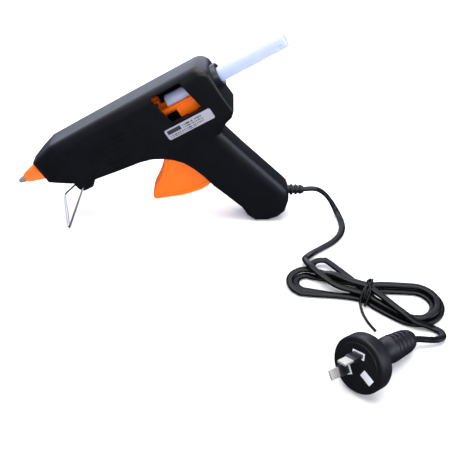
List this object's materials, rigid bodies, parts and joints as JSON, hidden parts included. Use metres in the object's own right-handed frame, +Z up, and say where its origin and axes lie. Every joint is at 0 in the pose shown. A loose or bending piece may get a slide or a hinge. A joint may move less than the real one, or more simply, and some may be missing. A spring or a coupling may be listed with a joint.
{
  "type": "glue gun",
  "caption": "Pistol-shaped hot-melt glue gun on a wire bench stand, with a trigger-fed glue stick, heated nozzle and plugged mains lead.",
  "frame": {"origin": "centre of the gun's own box on the bench it stands on, leaving out the mains lead", "axes": "+X from the nozzle back to the handle, +Y across the gun to its right side, +Z up"},
  "size_m": [0.3229, 0.2344, 0.1563],
  "materials": {
    "shell_black": "moulded ABS, satin",
    "screw_steel": "zinc plated",
    "label_foil": "satin foil",
    "nozzle_metal": "nickel plated",
    "orange_silicone": "matt silicone",
    "cast_aluminium": "die cast",
    "ptc_ceramic": "sintered",
    "electrode_brass": "rolled strip",
    "spring_steel": "bright",
    "red_silicone": "matt silicone",
    "orange_plastic": "moulded ABS, satin gloss",
    "guide_black": "moulded ABS, satin",
    "glue": "translucent hot-melt",
    "stand_wire": "bright zinc",
    "live_insulation": "PVC",
    "neutral_insulation": "PVC",
    "glass_braid": "glass fibre sleeve",
    "cord_black": "PVC",
    "plug_black": "moulded PVC",
    "tie_black": "plastic covered wire",
    "insert_pale": "moulded",
    "pin_nickel": "nickel plated",
    "sleeve_black": "moulded"
  },
  "bodies": {
    "housing": {"left_shell": "shell_black", "right_shell": "shell_black", "shell_screws": "screw_steel", "rating_label": "label_foil", "nozzle_tip": "nozzle_metal", "nozzle_sleeve": "orange_silicone", "melt_chamber": "cast_aluminium", "ptc_heater": "ptc_ceramic", "heater_electrodes": "electrode_brass", "heater_clip": "spring_steel", "inlet_sleeve": "red_silicone", "sleeve_clamp": "spring_steel", "trigger_pin": "spring_steel", "return_spring": "spring_steel", "stick_guide": "guide_black", "cord_clamp": "guide_black", "clamp_screws": "screw_steel", "live_wire": "live_insulation", "neutral_wire": "neutral_insulation", "wire_sleeves": "glass_braid", "strain_relief": "cord_black", "cord_lead": "cord_black", "cord_hank": "cord_black", "cord_tail": "cord_black", "cord_tie": "tie_black", "plug_body": "plug_black", "plug_insert": "insert_pale", "plug_pins": "pin_nickel", "pin_sleeves": "sleeve_black"},
    "trigger_body": {"trigger": "orange_plastic"},
    "carriage_body": {"pusher_carriage": "orange_plastic", "jaw_pin": "spring_steel"},
    "jaw_body": {"gripper_jaw": "screw_steel"},
    "stick_body": {"glue_stick": "glue"},
    "stand_body": {"wire_stand": "stand_wire"}
  },
  "joints": [
    {"name": "trigger_pull", "type": "hinge", "parent": "housing", "child": "trigger_body", "pos_m": [0.01379, 0, 0.07098], "axis": [0, -1, 0], "range_deg": [0, 20], "stiffness_Nm_per_rad": 0.6, "springref_deg": -20.05},
    {"name": "carriage_slide", "type": "slide", "parent": "housing", "child": "carriage_body", "axis": [-0.866, 0, -0.5], "range_m": [0, 0.00919]},
    {"name": "jaw_grip", "type": "hinge", "parent": "carriage_body", "child": "jaw_body", "pos_m": [0.03277, 0, 0.09811], "axis": [0, 1, 0], "range_deg": [0, 3.05]},
    {"name": "stick_feed", "type": "slide", "parent": "housing", "child": "stick_body", "axis": [-0.866, 0, -0.5], "range_m": [0, 0.00919]},
    {"name": "stand_swing", "type": "hinge", "parent": "housing", "child": "stand_body", "pos_m": [-0.0561, 0, 0.03005], "axis": [0, -1, 0], "range_deg": [0, 125]}
  ],
  "couplings": [
    {"joint": "carriage_slide", "follows": "trigger_pull", "m_per_rad": 0.026267},
    {"joint": "stick_feed", "follows": "trigger_pull", "m_per_rad": 0.026267},
    {"joint": "jaw_grip", "follows": "trigger_pull", "ratio": 0.15}
  ]
}
